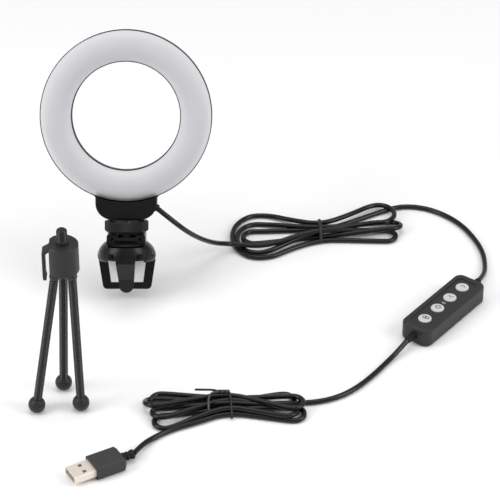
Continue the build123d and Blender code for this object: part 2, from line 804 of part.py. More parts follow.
def plug_strain_relief():
    cone = Pos(0, 0, plug_relief_length / 2) * Cone(plug_relief_r, cord_d / 2 + 0.4, plug_relief_length)
    for i in range(4):
        z = 1.4 + 1.6 * i
        cone -= cylinder(4, z, z + 0.6) - cylinder(cord_d / 2 + 0.3, z - 1, z + 2)
    return Rot(0, -90, 0) * cone


# ---- mini tripod, drawn downwards from the middle of its top face

def tripod_side():
    """Everything beyond the flat on the left of the head."""
    return box((-30, -30, -tripod_height), (-tripod_flat, 30, 10))


def tripod_head():
    head = cylinder(tripod_r, -tripod_head_height, 0)
    head = chamfer(head.edges().sort_by(Axis.Z)[-1:], 0.9) - tripod_side()
    head -= cylinder(screw_collar_r, -8.0, 1)
    return head - clip_root()


def tripod_base():
    """Cap under the head, with a socket for the ball of each leg."""
    bottom = -tripod_head_height - tripod_base_height
    base = cylinder(tripod_r, bottom, -tripod_head_height)
    base = chamfer(base.edges().sort_by(Axis.Z)[:1], 1.8) - tripod_side()
    for root in leg_roots():
        base -= Pos(*root) * Sphere(leg_ball_r + socket_fit)
    return base


def tripod_screw():
    """Quarter-inch screw on a plain collar that is sunk in the head."""
    collar = cylinder(screw_collar_r, -8.0, screw_collar_height)
    thread = cylinder(stud_r, screw_collar_height, screw_collar_height + screw_length)
    thread = chamfer(thread.edges().sort_by(Axis.Z)[-1:], 0.7)
    return collar + thread


def clip_root():
    """The clip's foot, let into the head's flat."""
    half = clip_width / 2
    return box((-tripod_flat, -half, -2.6 - clip_thickness), (-tripod_flat + 2.0, half, -2.6))


def tripod_clip():
    """Pocket clip: out from the flat, then straight down, with a turned-in tip."""
    half = clip_width / 2
    inner = -tripod_flat - clip_gap
    outer = inner - clip_thickness
    top = -2.6
    line = Polyline((-tripod_flat, top), (-tripod_flat, top - clip_thickness), (inner, top - clip_thickness - 2.2),
                    (inner, top - clip_drop + 2), (inner + 0.5, top - clip_drop), (outer + 0.3, top - clip_drop),
                    (outer, top - clip_drop + 2), (outer, top - 2.6), close=True)
    strap = extrude(Plane.XZ.offset(-half) * make_face(line), amount=clip_width)
    return strap + clip_root()


def leg_roots():
    """Centres of the legs' balls, from the middle of the tripod's top."""
    z = -tripod_head_height - tripod_base_height - leg_ball_drop
    return [(leg_root_r * cos(radians(b)), leg_root_r * sin(radians(b)), z) for b in leg_bearings]


def leg_lines():
    """Each leg's ball centre and the middle of its foot, in the tripod's frame."""
    foot_z = foot_ball_r - tripod_height
    for root, (x, y) in zip(leg_roots(), foot_places):
        yield Vector(*root), Vector(x - tripod_x, y - tripod_y, foot_z)


def tripod_leg(root, foot):
    reach = (foot - root).length - foot_ball_r * 0.7
    along = Plane(origin=root, z_dir=foot - root)
    return Pos(*root) * Sphere(leg_ball_r) + along * cylinder(leg_d / 2, 0, reach)


def tripod_foot(root, foot):
    """Rubber ball pushed over the leg's end."""
    reach = (foot - root).length - foot_ball_r * 0.7
    along = Plane(origin=root, z_dir=foot - root)
    return Pos(*foot) * Sphere(foot_ball_r) - along * cylinder(leg_d / 2, 0, reach)


os.makedirs("parts", exist_ok=True)

LIGHT_PIECES = {
    "rear_housing": rear_housing, "neck_cover": neck_cover, "housing_screws": housing_screws,
    "diffuser": diffuser, "led_board": led_board, "led_chips": led_chips,
    "reflector_ring": reflector_ring, "neck_gland": neck_gland, "threaded_insert": threaded_insert,
    "neck_washer": neck_washer, "mount_stud": mount_stud, "lock_wheel": lock_wheel,
    "shoe_foot": shoe_foot, "cold_shoe": cold_shoe, "shoe_screws": shoe_screws,
    "clamp_body": clamp_body, "rear_jaw_frame": rear_jaw_frame, "rear_jaw_pad": rear_jaw_pad,
    "clamp_hinge_pin": clamp_hinge_pin, "clamp_spring": clamp_spring, "front_jaw": front_jaw,
    "front_jaw_pad": front_jaw_pad,
}
for name, make in LIGHT_PIECES.items():
    write(LEAN * make(), name)

for name, route in {"cord_lead_1": LEAD_1, "cord_lead_2": LEAD_2,
                    "cord_lead_3": LEAD_3, "cord_lead_4": LEAD_4}.items():
    write(cord_tube(route), name)
write(hank(hank_1_tie, hank_1_waist, hank_1_lobes), "cord_hank_1")
write(hank(hank_2_tie, hank_2_waist, hank_2_lobes), "cord_hank_2")
write(tie_band(hank_1_tie, hank_1_waist), "cord_tie_1")
write(tie_band(hank_2_tie, hank_2_waist), "cord_tie_2")

CONTROLLER_PIECES = {
    "controller_bottom": controller_bottom, "controller_top": controller_top,
    "button_panel": button_panel, "indicator_lens": indicator_lens,
    "controller_board": controller_board, "switch_domes": switch_domes,
    "controller_screws": controller_screws,
}
for name, make in CONTROLLER_PIECES.items():
    write(CONTROLLER * make(), name)
for i, x in enumerate(button_places()):
    write(CONTROLLER * Pos(x, 0, 0) * button(), "button_%d" % (i + 1))
write(CONTROLLER * strain_relief(1), "relief_far")
write(CONTROLLER * strain_relief(-1), "relief_near")

PLUG_PIECES = {
    "plug_overmold": plug_overmold, "plug_shell": plug_shell, "plug_tongue": plug_tongue,
    "plug_contacts": plug_contacts, "plug_strain_relief": plug_strain_relief,
}
for name, make in PLUG_PIECES.items():
    write(PLUG * make(), name)

TRIPOD_PIECES = {
    "tripod_head": tripod_head, "tripod_base": tripod_base, "tripod_screw": tripod_screw,
    "tripod_clip": tripod_clip,
}
for name, make in TRIPOD_PIECES.items():
    write(TRIPOD * make(), name)
for i, (root, foot) in enumerate(leg_lines()):
    write(TRIPOD * tripod_leg(root, foot), "tripod_leg_%d" % (i + 1))
    write(TRIPOD * tripod_foot(root, foot), "tripod_foot_%d" % (i + 1))
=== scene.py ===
"""Looks of the ring light kit: its lead, soft pieces and finishes, around the fixed frame."""
import bpy
import bmesh
import json
from math import cos, pi, radians, sin
from mathutils import Matrix, Vector


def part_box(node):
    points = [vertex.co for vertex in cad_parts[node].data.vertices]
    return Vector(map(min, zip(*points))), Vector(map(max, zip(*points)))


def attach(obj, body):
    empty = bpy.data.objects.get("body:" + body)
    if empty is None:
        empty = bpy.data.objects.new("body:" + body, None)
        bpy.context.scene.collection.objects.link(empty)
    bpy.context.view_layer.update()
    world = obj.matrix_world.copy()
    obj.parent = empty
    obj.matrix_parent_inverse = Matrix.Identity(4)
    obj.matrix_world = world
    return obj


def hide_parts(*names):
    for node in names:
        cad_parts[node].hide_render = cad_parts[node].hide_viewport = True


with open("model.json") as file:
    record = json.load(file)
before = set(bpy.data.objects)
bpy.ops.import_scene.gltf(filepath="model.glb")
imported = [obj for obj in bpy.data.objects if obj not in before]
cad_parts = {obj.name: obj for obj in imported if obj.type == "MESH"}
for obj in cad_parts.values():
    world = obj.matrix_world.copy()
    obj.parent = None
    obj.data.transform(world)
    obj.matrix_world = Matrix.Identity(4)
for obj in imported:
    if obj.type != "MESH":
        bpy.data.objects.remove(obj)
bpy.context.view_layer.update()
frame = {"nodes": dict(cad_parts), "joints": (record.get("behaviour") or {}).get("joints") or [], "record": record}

MM = 0.001
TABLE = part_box("controller_bottom")[0][2]      # the table that the lead lies on
CORD_D = 3.2 * MM
CORD_R = CORD_D / 2
LEAN = radians(28.0)                           # how far the light leans back
CONTROLLER_TURN = radians(52.5)                # the controller's length, from the table's X
PLUG_TURN = radians(209.5)                     # where the plug points
DIFFUSER_HOLE_SHARE = 33.5 / 52.0              # the milky cover's hole radius over its outer radius


# ---------------------------------------------------------------- camera and stage

def point_at(obj, target):
    """Turns a lamp or the camera towards a place."""
    obj.rotation_euler = (Vector(target) - obj.location).to_track_quat("-Z", "Y").to_euler()


def make_camera():
    """A long lens well above the table, a little right of the light."""
    elevation = radians(35.0)
    distance = 1.617
    target = Vector((0.0755, 0.0022, TABLE + 0.0325))
    data = bpy.data.cameras.new("camera")
    data.lens = 190
    data.sensor_width = 36
    data.clip_end = 20
    camera = bpy.data.objects.new("camera", data)
    bpy.context.scene.collection.objects.link(camera)
    camera.location = target + distance * Vector((0, -cos(elevation), sin(elevation)))
    point_at(camera, target)
    bpy.context.scene.camera = camera


def make_lamp(name, place, target, size, watts):
    """A softbox: width and height in metres."""
    data = bpy.data.lights.new(name, "AREA")
    data.shape = "RECTANGLE"
    data.size, data.size_y = size
    data.energy = watts
    lamp = bpy.data.objects.new(name, data)
    bpy.context.scene.collection.objects.link(lamp)
    lamp.location = place
    point_at(lamp, target)


def make_stage():
    """A white table under soft studio light."""
    bpy.ops.mesh.primitive_plane_add(size=12, location=(0, 0, TABLE))
    floor = bpy.context.object
    floor.name = "table_top"
    material = bpy.data.materials.new("table_white")
    material.use_nodes = True
    shader = material.node_tree.nodes["Principled BSDF"]
    shader.inputs["Base Color"].default_value = (0.96, 0.96, 0.96, 1)
    shader.inputs["Roughness"].default_value = 0.6
    shader.inputs["Specular IOR Level"].default_value = 0.1
    floor.data.materials.append(material)
    world = bpy.data.worlds.new("studio")
    world.use_nodes = True
    background = world.node_tree.nodes["Background"]
    background.inputs["Color"].default_value = (1, 1, 1, 1)
    background.inputs["Strength"].default_value = 0.5
    bpy.context.scene.world = world
    bpy.context.scene.view_settings.view_transform = "Standard"
    make_lamp("left_softbox", (-0.8, -0.35, 0.55), (0.0, 0, 0.03), (0.5, 0.7), 4.5)
    make_lamp("right_softbox", (0.95, -0.35, 0.6), (0.05, 0, 0.03), (0.5, 0.7), 4.5)
    make_lamp("top_softbox", (0.05, 0.1, 1.5), (0.05, 0, 0), (1.2, 1.2), 8)


# ---------------------------------------------------------------- the lead

LOW = 1.7                                      # a strand's middle over the table, resting on it
MID = 4.9                                      # and where it lies on another strand

# The free stretches of both leads: place along X and Y, and height over the table, in mm.
LEAD_1 = [(19.0, 13.7, 55.3), (29.8, 9.7, 47.4), (38.0, 15.6, 36.0), (45.5, 26.0, 24.0),
          (53.5, 39.0, 12.0), (61.5, 47.2, 5.8), (70.0, 47.0, 5.2)]
ACROSS_1 = [(81.0, 45.5, 5.2), (92.0, 48.5, 5.4), (104.0, 54.5, 6.6)]
OUT_1 = [(134.0, 73.6, LOW), (149.0, 82.6, LOW)]
LEAD_2 = [(162.0, 90.4, LOW), (174.0, 95.8, LOW), (188.0, 94.0, LOW), (200.0, 86.8, LOW),
          (210.5, 75.5, LOW), (218.0, 60.5, LOW), (222.8, 44.5, LOW), (223.2, 29.0, 1.8),
          (221.4, 16.6, 3.4), (217.2, 7.0, 6.0)]
LEAD_3 = [(169.8, -55.0, 6.0), (164.0, -62.0, 3.2), (156.6, -71.5, LOW), (147.6, -84.5, LOW),
          (137.0, -97.0, LOW), (126.0, -105.0, LOW), (114.0, -109.0, LOW), (102.0, -110.0, LOW)]
LEAD_4 = [(44.0, -128.4, 1.9), (31.5, -133.6, LOW), (20.5, -141.4, LOW), (13.4, -150.2, 2.9),
          (9.55, -158.95, 4.2)]

# Each turn of a hank goes right along its back and left along its front.
# "passes" are where the strands go through the tie, in order along the lead: place along Y, height.
# "lobes" are its round ends, in the same order: how far out the end is and how long its round part,
# then the place along Y and the height of its back strand and of its front strand.
LOOSE_HANK = {
    "tie_x": 121.0,
    "passes": [(60.5, 7.4), (57.4, LOW), (70.0, MID), (63.2, MID), (66.6, MID), (60.6, LOW),
               (68.6, LOW)],
    "lobes": [
        {"end": 168.4, "round": 6.0, "back": (67.8, LOW), "front": (56.0, LOW)},
        {"end": 64.2, "round": 17.5, "back": (84.8, LOW), "front": (37.8, LOW)},
        {"end": 168.4, "round": 10.0, "back": (94.4, 3.4), "front": (72.4, MID)},
        {"end": 67.2, "round": 13.0, "back": (74.8, LOW), "front": (43.0, LOW)},
        {"end": 171.8, "round": 6.2, "back": (76.0, 2.4), "front": (63.6, 6.3)},
        {"end": 71.2, "round": 7.0, "back": (66.8, LOW), "front": (53.4, LOW)},
    ],
}
TIGHT_HANK = {
    "tie_x": 62.0,
    "passes": [(-112.2, LOW), (-105.6, LOW), (-105.0, MID), (-108.9, LOW), (-109.6, MID), (-113.2, MID),
               (-117.0, MID), (-115.5, LOW), (-118.8, LOW)],
    "lobes": [
        {"end": 17.4, "round": 6.3, "back": (-101.2, LOW), "front": (-114.2, LOW)},
        {"end": 106.5, "round": 6.3, "back": (-107.0, 4.6), "front": (-119.6, 5.6)},
        {"end": 14.2, "round": 6.3, "back": (-106.2, 1.9), "front": (-118.6, 6.9)},
        {"end": 101.5, "round": 6.3, "back": (-101.4, LOW), "front": (-114.0, LOW)},
        {"end": 18.6, "round": 6.3, "back": (-114.6, LOW), "front": (-127.0, MID)},
        {"end": 103.0, "round": 6.3, "back": (-112.6, LOW), "front": (-125.0, 4.4)},
        {"end": 20.0, "round": 6.5, "back": (-121.4, LOW), "front": (-133.4, LOW)},
        {"end": 107.0, "round": 6.0, "back": (-114.6, 2.4), "front": (-126.2, LOW)},
    ],
}


LOBE_TURNS = (-112.5, -67.5, -22.5, 22.5, 67.5, 112.5)     # a lobe's points, in degrees round from its tip
TIP_SHARE = cos(radians(22.5))                 # how far out the points beside the tip come
SIDE_SHARE = sin(radians(67.5))                # how far across the points on a lobe's widest part come


def lobe_points(tie_x, lobe, leave, enter):
    """One round end of a hank: half an oval from one side to the other, and a point each way
    halfway back to the tie, so that the strands taper into it."""
    outward = 1 if lobe["end"] > tie_x else -1
    first, last = (lobe["back"], lobe["front"]) if outward > 0 else (lobe["front"], lobe["back"])
    centre_x = lobe["end"] - outward * lobe["round"]
    points = []
    for turn in LOBE_TURNS:
        share = (1 + sin(radians(turn)) / SIDE_SHARE) / 2
        y, height = (a + (b - a) * share for a, b in zip(first, last))
        x = centre_x + outward * lobe["round"] * cos(radians(turn)) / TIP_SHARE
        points.append((x, y, height))
    middle_x = (tie_x + centre_x) / 2
    before = (middle_x, (leave[0] + first[0]) / 2, (leave[1] + first[1]) / 2)
    after = (middle_x, (enter[0] + last[0]) / 2, (enter[1] + last[1]) / 2)
    return [before, *points, after]


def hank_points(hank):
    """The whole of a hank, from its first pass through the tie to its last."""
    points = []
    for lobe, leave, enter in zip(hank["lobes"], hank["passes"], hank["passes"][1:]):
        points.append((hank["tie_x"], *leave))
        points += lobe_points(hank["tie_x"], lobe, leave, enter)
    points.append((hank["tie_x"], *hank["passes"][-1]))
    return points


def rope_curve(name, points, radius):
    """One smooth open spline through points given in mm over the table."""
    data = bpy.data.curves.new(name, "CURVE")
    data.dimensions = "3D"
    data.bevel_depth = radius
    data.bevel_resolution = 5
    data.use_fill_caps = True
    spline = data.splines.new("NURBS")
    spline.points.add(len(points) - 1)
    for target, (x, y, h) in zip(spline.points, points):
        target.co = (x * MM, y * MM, h * MM + TABLE, 1)
    spline.order_u = 3
    spline.use_endpoint_u = True
    spline.resolution_u = 6
    rope = bpy.data.objects.new(name, data)
    bpy.context.scene.collection.objects.link(rope)
    return rope


# ---------------------------------------------------------------- wire ties

BAND_R = 1.1 * MM                              # the thick band round the loose hank
WIRE_R = 0.65 * MM                             # the coated wire round the tight hank
BAND_CLEARANCE = 0.1                           # between a band and the table, in mm
TWIST_TURNS = 2.5
TWIST_STEPS = 20
TWIST_START = 63.2                             # the twisted part along X, in mm
TWIST_END = 56.4
TWIST_Y = -106.2                               # its place along Y, and its height over the table
TWIST_H = 7.4

# The wire's two ends after the twist: one is pressed down over the hank, the other stands off it.
STRIP_TAIL = [(54.2, -106.8, 7.6), (52.2, -109.0, 7.5), (51.3, -112.6, 7.2), (51.4, -117.0, 6.0),
              (51.6, -121.0, 4.0)]
LOOSE_TAIL = [(54.0, -105.4, 8.0), (50.0, -105.2, 8.0), (43.2, -105.1, 8.0)]


def closed_band(name, x, back, front, top, radius, lean=0.0):
    """A band that goes once round a bundle of strands and rests on the table."""
    lift = radius / MM + BAND_CLEARANCE
    points = [(x, front - 1.0, lift), (x, back + 1.0, lift), (x + lean, back + 1.2, top * 0.6),
              (x + lean, back - 1.6, top), (x + lean * 0.5, (back + front) / 2, top + 0.3),
              (x, front + 2.2, top - 1.6), (x, front - 1.4, 2.6)]
    band = rope_curve(name, points, radius)
    band.data.splines[0].use_endpoint_u = False
    band.data.splines[0].use_cyclic_u = True
    return band


def twist(phase):
    """One strand of the wire's twisted part, which runs along X."""
    points = []
    for i in range(TWIST_STEPS + 1):
        turn = phase + 2 * pi * TWIST_TURNS * i / TWIST_STEPS
        x = TWIST_START + (TWIST_END - TWIST_START) * i / TWIST_STEPS
        points.append((x, TWIST_Y + cos(turn) * WIRE_R / MM, TWIST_H + sin(turn) * WIRE_R / MM))
    return points


# ---------------------------------------------------------------- materials

MIX_FACTOR, MIX_FIRST, MIX_SECOND = 0, 6, 7    # the colour sockets of a Mix node
MIX_RESULT = 2


def new_material(name):
    """A material with its nodes, its links and its shader."""
    material = bpy.data.materials.new(name)
    material.use_nodes = True
    tree = material.node_tree
    return material, tree.nodes, tree.links, tree.nodes["Principled BSDF"]


def grain_group():
    """Moulded grain: a fine pebbled height, and a slow drift in tone and gloss over the surface."""
    group = bpy.data.node_groups.new("moulded_grain", "ShaderNodeTree")
    sockets = group.interface
    inputs = (("Vector", "NodeSocketVector"), ("Colour", "NodeSocketColor"),
              ("Worn Colour", "NodeSocketColor"), ("Grain Size", "NodeSocketFloat"),
              ("Roughness", "NodeSocketFloat"), ("Gloss Drift", "NodeSocketFloat"))
    outputs = (("Colour", "NodeSocketColor"), ("Roughness", "NodeSocketFloat"),
               ("Height", "NodeSocketFloat"))
    for name, kind in inputs:
        sockets.new_socket(name, in_out="INPUT", socket_type=kind)
    for name, kind in outputs:
        sockets.new_socket(name, in_out="OUTPUT", socket_type=kind)
    nodes, links = group.nodes, group.links
    entry = nodes.new("NodeGroupInput")
    out = nodes.new("NodeGroupOutput")
    pebble = nodes.new("ShaderNodeTexNoise")
    pebble.inputs["Detail"].default_value = 2.0
    pebble.inputs["Roughness"].default_value = 0.6
    slow = nodes.new("ShaderNodeTexNoise")
    slow.inputs["Scale"].default_value = 90.0
    slow.inputs["Detail"].default_value = 4.0
    tone = nodes.new("ShaderNodeMix")
    tone.data_type = "RGBA"
    drift = nodes.new("ShaderNodeMath")
    drift.operation = "SUBTRACT"
    drift.inputs[1].default_value = 0.5
    gloss = nodes.new("ShaderNodeMath")
    gloss.operation = "MULTIPLY_ADD"
    links.new(entry.outputs["Vector"], pebble.inputs["Vector"])
    links.new(entry.outputs["Vector"], slow.inputs["Vector"])
    links.new(entry.outputs["Grain Size"], pebble.inputs["Scale"])
    links.new(slow.outputs["Fac"], tone.inputs[MIX_FACTOR])
    links.new(entry.outputs["Colour"], tone.inputs[MIX_FIRST])
    links.new(entry.outputs["Worn Colour"], tone.inputs[MIX_SECOND])
    links.new(slow.outputs["Fac"], drift.inputs[0])
    links.new(drift.outputs[0], gloss.inputs[0])
    links.new(entry.outputs["Gloss Drift"], gloss.inputs[1])
    links.new(entry.outputs["Roughness"], gloss.inputs[2])
    links.new(tone.outputs[MIX_RESULT], out.inputs["Colour"])
    links.new(gloss.outputs[0], out.inputs["Roughness"])
    links.new(pebble.outputs["Fac"], out.inputs["Height"])
    return group


GRAIN = grain_group()
BUMP_HEIGHT = 0.05 * MM


def add_grain(nodes, links, shader, colour, worn, size, roughness, drift, bump):
    """Places the grain group in a material and feeds the shader from it."""
    place = nodes.new("ShaderNodeTexCoord")
    grain = nodes.new("ShaderNodeGroup")
    grain.node_tree = GRAIN
    grain.inputs["Colour"].default_value = (*colour, 1)
    grain.inputs["Worn Colour"].default_value = (*worn, 1)
    grain.inputs["Grain Size"].default_value = size
    grain.inputs["Roughness"].default_value = roughness
    grain.inputs["Gloss Drift"].default_value = drift
    relief = nodes.new("ShaderNodeBump")
    relief.inputs["Strength"].default_value = bump
    relief.inputs["Distance"].default_value = BUMP_HEIGHT
    links.new(place.outputs["Object"], grain.inputs["Vector"])
    links.new(grain.outputs["Colour"], shader.inputs["Base Color"])
    links.new(grain.outputs["Roughness"], shader.inputs["Roughness"])
    links.new(grain.outputs["Height"], relief.inputs["Height"])
    links.new(relief.outputs["Normal"], shader.inputs["Normal"])
    return place, grain, relief


def moulded(name, colour, worn, size=2600.0, roughness=0.5, drift=0.2, bump=0.2, specular=0.5,
            metallic=0.0):
    """A moulded, sprayed or plated finish with its own grain."""
    material, nodes, links, shader = new_material(name)
    shader.inputs["Specular IOR Level"].default_value = specular
    shader.inputs["Metallic"].default_value = metallic
    add_grain(nodes, links, shader, colour, worn, size, roughness, drift, bump)
    return material


def grey(value, blue=1.06):
    """A grey with its blue raised or lowered a little."""
    return (value, value, value * blue)


def milky_cover():
    """Milky cover: satin, with a painted highlight that makes it a little brighter towards its two rims."""
    material, nodes, links, shader = new_material("milky_cover")
    shader.inputs["Specular IOR Level"].default_value = 0.35
    place, grain, _ = add_grain(nodes, links, shader, (0.50, 0.50, 0.53), (0.53, 0.53, 0.56),
                                3000.0, 0.5, 0.1, 0.05)
    low, high = (Vector(corner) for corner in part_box("diffuser"))
    middle = (low + high) / 2
    turned = nodes.new("ShaderNodeMapping")
    turned.vector_type = "TEXTURE"
    turned.inputs["Location"].default_value = middle
    turned.inputs["Rotation"].default_value = (-LEAN, 0, 0)
    flat = nodes.new("ShaderNodeVectorMath")
    flat.operation = "MULTIPLY"
    flat.inputs[1].default_value = (1, 0, 1)
    reach = nodes.new("ShaderNodeVectorMath")
    reach.operation = "LENGTH"
    outer = (high.x - low.x) / 2
    inner = outer * DIFFUSER_HOLE_SHARE
    off_middle = nodes.new("ShaderNodeMapRange")
    off_middle.inputs["From Min"].default_value = inner
    off_middle.inputs["From Max"].default_value = outer
    # Painted highlight: a ramp that is bright at the inner and outer rims and dark across the middle.
    rim_highlight_ramp = nodes.new("ShaderNodeValToRGB")
    ramp = rim_highlight_ramp.color_ramp
    ramp.interpolation = "B_SPLINE"
    ramp.elements[0].position = 0.0
    ramp.elements[0].color = (1, 1, 1, 1)
    ramp.elements[1].position = 1.0
    ramp.elements[1].color = (1, 1, 1, 1)
    for position in (0.25, 0.75):
        ramp.elements.new(position).color = (0, 0, 0, 1)
    # Mixes a paler grey into the cover's colour near its rims as a painted highlight.
    painted_rim_highlight = nodes.new("ShaderNodeMix")
    painted_rim_highlight.data_type = "RGBA"
    painted_rim_highlight.inputs[MIX_SECOND].default_value = (0.70, 0.70, 0.72, 1)
    links.new(place.outputs["Object"], turned.inputs["Vector"])
    links.new(turned.outputs["Vector"], flat.inputs[0])
    links.new(flat.outputs["Vector"], reach.inputs[0])
    links.new(reach.outputs["Value"], off_middle.inputs["Value"])
    links.new(off_middle.outputs["Result"], rim_highlight_ramp.inputs["Fac"])
    links.new(rim_highlight_ramp.outputs["Color"], painted_rim_highlight.inputs[MIX_FACTOR])
    links.new(grain.outputs["Colour"], painted_rim_highlight.inputs[MIX_FIRST])
    links.new(painted_rim_highlight.outputs[MIX_RESULT], shader.inputs["Base Color"])
    return material


def grip_pad():
    """Pale grip pad with fine upright ribs."""
    material, nodes, links, shader = new_material("grey_pad")
    shader.inputs["Specular IOR Level"].default_value = 0.3
    place, grain, relief = add_grain(nodes, links, shader, (0.76, 0.76, 0.78), (0.84, 0.84, 0.86),
                                     1800.0, 0.6, 0.1, 0.3)
    ribs = nodes.new("ShaderNodeTexWave")
    ribs.wave_type = "BANDS"
    ribs.bands_direction = "X"
    ribs.inputs["Scale"].default_value = 260.0
    ribs.inputs["Distortion"].default_value = 0.4
    ribbed = nodes.new("ShaderNodeMath")
    ribbed.operation = "MULTIPLY_ADD"
    ribbed.inputs[1].default_value = 1.5
    links.new(place.outputs["Object"], ribs.inputs["Vector"])
    links.new(ribs.outputs["Fac"], ribbed.inputs[0])
    links.new(grain.outputs["Height"], ribbed.inputs[2])
    links.new(ribbed.outputs[0], relief.inputs["Height"])
    return material


def plated_shell():
    """Plated shell: bright warm metal with fine brushed lines along it."""
    material, nodes, links, shader = new_material("plug_metal")
    shader.inputs["Metallic"].default_value = 0.35
    place, _, relief = add_grain(nodes, links, shader, (0.92, 0.82, 0.72), (0.84, 0.76, 0.68),
                                 2200.0, 0.3, 0.16, 0.1)
    turned = nodes.new("ShaderNodeMapping")
    turned.inputs["Rotation"].default_value = (0, 0, -PLUG_TURN)
    turned.inputs["Scale"].default_value = (300, 6000, 6000)
    lines = nodes.new("ShaderNodeTexNoise")
    lines.inputs["Scale"].default_value = 1.0
    lines.inputs["Detail"].default_value = 3.0
    links.new(place.outputs["Object"], turned.inputs["Vector"])
    links.new(turned.outputs["Vector"], lines.inputs["Vector"])
    links.new(lines.outputs["Fac"], relief.inputs["Height"])
    return material


def cord_sheath():
    """Smooth glossy sheath, with the faint draw marks of its extrusion."""
    material, nodes, links, shader = new_material("cord_black")
    shader.inputs["Specular IOR Level"].default_value = 0.36
    add_grain(nodes, links, shader, grey(0.003), grey(0.006), 900.0, 0.2, 0.1, 0.08)
    return material


# Each has its colour, its worn colour, then grain size, roughness, gloss drift, bump and specular.
FINISHES = {
    "black_housing": moulded("black_housing", grey(0.005), grey(0.008), 2400.0, 0.48, 0.16, 0.22, 0.15),
    "milky_cover": milky_cover(),
    "board_green": moulded("board_green", (0.02, 0.08, 0.045), (0.03, 0.11, 0.06), 900.0, 0.35, 0.1, 0.1),
    "led_yellow": moulded("led_yellow", (0.85, 0.72, 0.22), (0.9, 0.8, 0.35), 2000.0, 0.4, 0.1, 0.1),
    "white_sheet": moulded("white_sheet", grey(0.85, 1.0), grey(0.9, 1.0), 1600.0, 0.7, 0.1, 0.2),
    "soft_rubber": moulded("soft_rubber", grey(0.008), grey(0.014), 1500.0, 0.55, 0.15, 0.3, 0.25),
    "tie_black": moulded("tie_black", grey(0.008), grey(0.02), 1200.0, 0.45, 0.2, 0.2, 0.4),
    "tie_grey": moulded("tie_grey", grey(0.05), grey(0.09), 1200.0, 0.45, 0.2, 0.2, 0.4),
    "brass": moulded("brass", (0.75, 0.55, 0.25), (0.62, 0.44, 0.2), 1400.0, 0.3, 0.15, 0.1, metallic=1.0),
    "black_steel": moulded("black_steel", grey(0.009), grey(0.02), 1800.0, 0.36, 0.2, 0.15, 0.35),
    "screw_steel": moulded("screw_steel", grey(0.55, 1.02), grey(0.66, 1.02), 1600.0, 0.3, 0.15,
                           0.12, metallic=1.0),
    "knurled_black": moulded("knurled_black", grey(0.009), grey(0.015), 1900.0, 0.44, 0.16, 0.25, 0.3),
    "satin_black": moulded("satin_black", grey(0.003), grey(0.006), 2400.0, 0.30, 0.1, 0.12, 0.26),
    "grey_pad": grip_pad(),
    "spring_steel": moulded("spring_steel", grey(0.5, 1.02), grey(0.4, 1.02), 1600.0, 0.32, 0.15,
                            0.1, metallic=1.0),
    "cord_black": cord_sheath(),
    "controller_grey": moulded("controller_grey", grey(0.019), grey(0.027), 2300.0, 0.46, 0.14, 0.3, 0.34),
    "button_silver": moulded("button_silver", grey(0.52, 1.02), grey(0.64, 1.02), 2400.0, 0.38,
                             0.15, 0.15, 0.5),
    "indicator": moulded("indicator", grey(0.22, 1.1), grey(0.3, 1.1), 1600.0, 0.25, 0.1, 0.1),
    "plug_metal": plated_shell(),
    "plug_white": moulded("plug_white", grey(0.8, 0.97), grey(0.85, 0.97), 1800.0, 0.5, 0.1, 0.1),
    "contact_gold": moulded("contact_gold", (0.85, 0.62, 0.25), (0.8, 0.6, 0.3), 1600.0, 0.25, 0.1,
                            0.1, metallic=1.0),
    "tripod_grey": moulded("tripod_grey", grey(0.017), grey(0.025), 2300.0, 0.44, 0.14, 0.25, 0.3),
    "leg_black": moulded("leg_black", grey(0.004), grey(0.008), 1700.0, 0.28, 0.14, 0.1, 0.55),
    "tongue_grey": moulded("tongue_grey", grey(0.10), grey(0.14), 1800.0, 0.5, 0.1, 0.1),
    "plug_grey": moulded("plug_grey", grey(0.030), grey(0.042), 2000.0, 0.6, 0.12, 0.35, 0.4),
    "symbol_grey": moulded("symbol_grey", grey(0.05), grey(0.08), 2600.0, 0.6, 0.1, 0.1),
}


# Nodes whose finish is finer than their slot's.
OWN_FINISH = {"plug_overmold": "plug_grey", "plug_tongue": "tongue_grey"}


def finish_nodes():
    """Gives every node of the frame the finish that its record names."""
    for part in frame["record"]["subparts"]:
        node = frame["nodes"][part["node"]]
        node.data.materials.clear()
        node.data.materials.append(FINISHES[OWN_FINISH.get(part["node"], part["material_slot"])])


def dress(piece, finish, body, *nodes):
    """Finish, body and replaced nodes of a new piece."""
    piece.data.materials.append(FINISHES[finish])
    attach(piece, body)
    if nodes:
        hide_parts(*nodes)
    return piece


# ---------------------------------------------------------------- turned pieces of the tripod

def turned_mesh(name, rings, sides, origin, direction):
    """A closed skin through rings of points, each ring a list of radii round the axis at one height."""
    mesh_builder = bmesh.new()
    frame_of_axis = direction.to_track_quat("Z", "Y").to_matrix().to_4x4()
    frame_of_axis.translation = origin
    loops = []
    for height, radii in rings:
        loop = []
        for k in range(sides):
            turn = 2 * pi * k / sides
            point = Vector((radii[k] * cos(turn), radii[k] * sin(turn), height))
            loop.append(mesh_builder.verts.new(frame_of_axis @ point))
        loops.append(loop)
    for lower, upper in zip(loops, loops[1:]):
        for k in range(sides):
            j = (k + 1) % sides
            mesh_builder.faces.new((lower[k], lower[j], upper[j], upper[k]))
    mesh_builder.faces.new(list(reversed(loops[0])))
    mesh_builder.faces.new(loops[-1])
    mesh = bpy.data.meshes.new(name)
    mesh_builder.to_mesh(mesh)
    mesh_builder.free()
    for face in mesh.polygons:
        face.use_smooth = len(face.vertices) == 4
    piece = bpy.data.objects.new(name, mesh)
    bpy.context.scene.collection.objects.link(piece)
    return piece


LEG_RIB_PITCH = 1.6 * MM
LEG_RIB_DEPTH = 0.8 * MM
LEG_R = 2.6 * MM
LEG_BALL_R = 3.05 * MM                         # the ball in the base's socket
LEG_START = 1.7 * MM                           # from the ball's middle to the first rib
LEG_END_GAP = 3.0 * MM                         # from the last rib to the foot's middle
RIB_SHARES = (0.0, 0.12, 0.3, 0.5, 0.7, 0.88)  # where a rib's rings lie along its pitch


